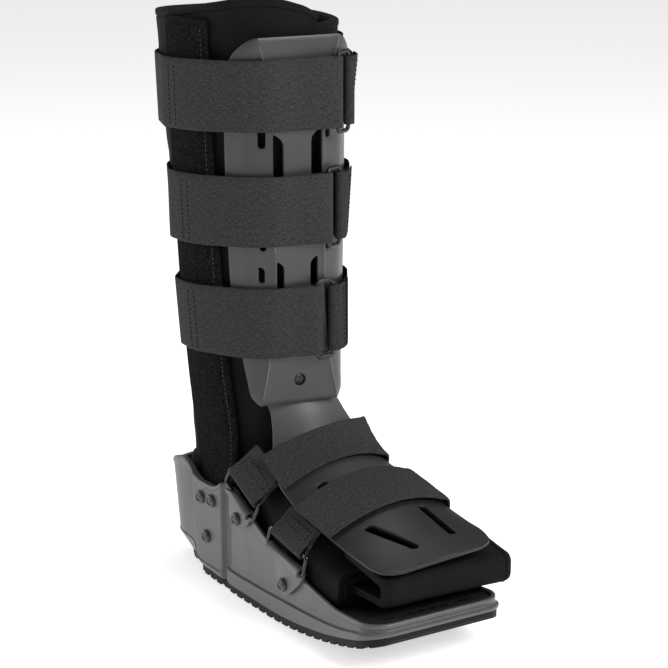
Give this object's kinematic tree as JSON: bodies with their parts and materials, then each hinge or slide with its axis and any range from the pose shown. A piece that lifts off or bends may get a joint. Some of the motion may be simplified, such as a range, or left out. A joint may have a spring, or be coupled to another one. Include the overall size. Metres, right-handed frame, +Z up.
{
  "type": "medical walking boot",
  "caption": "Tall walking boot for an injured lower leg: rigid rocker-sole foot base, padded open liner, front panels over shin and instep, and straps through loops.",
  "frame": {"origin": "on the floor, below the middle of the boot's bounding box", "axes": "+Z up along the leg, -Y towards the toe, +X towards the wearer's left"},
  "size_m": [0.1428, 0.3182, 0.438],
  "materials": {
    "shell_grey": "satin moulded plastic",
    "panel_grey": "satin moulded plastic",
    "sole_black": "matte",
    "insole_dark": "matte textured foam",
    "liner_black": "matte knit over foam",
    "hook_strip_black": "fuzzy",
    "strap_heather": "woven heather",
    "loop_black": "satin",
    "wire_black": "glossy coated wire",
    "rivet_grey": "satin"
  },
  "bodies": {
    "root": {"base_shell": "shell_grey", "outsole": "sole_black", "insole": "insole_dark", "liner_calf": "liner_black", "liner_foot": "liner_black", "toe_flap": "liner_black", "stay_cover_right": "hook_strip_black", "stay_cover_left": "hook_strip_black", "tibial_panel": "panel_grey", "instep_panel": "panel_grey", "panel_peg": "loop_black", "calf_strap_1": "strap_heather", "calf_ring_1": "loop_black", "ring_tab_1": "hook_strip_black", "calf_strap_2": "strap_heather", "calf_ring_2": "loop_black", "ring_tab_2": "hook_strip_black", "calf_strap_3": "strap_heather", "calf_ring_3": "loop_black", "ring_tab_3": "hook_strip_black", "foot_strap_1": "strap_heather", "foot_strap_end_1": "strap_heather", "wire_ring_1": "wire_black", "wire_tab_1": "shell_grey", "strap_anchor_1": "shell_grey", "tab_rivet_1": "rivet_grey", "anchor_rivet_1": "rivet_grey", "foot_strap_2": "strap_heather", "foot_strap_end_2": "strap_heather", "wire_ring_2": "wire_black", "wire_tab_2": "shell_grey", "strap_anchor_2": "shell_grey", "tab_rivet_2": "rivet_grey", "anchor_rivet_2": "rivet_grey", "band_rivet_right_1": "rivet_grey", "band_rivet_left_1": "rivet_grey", "band_rivet_right_2": "rivet_grey", "band_rivet_left_2": "rivet_grey", "band_rivet_right_3": "rivet_grey", "band_rivet_left_3": "rivet_grey"}
  },
  "joints": []
}
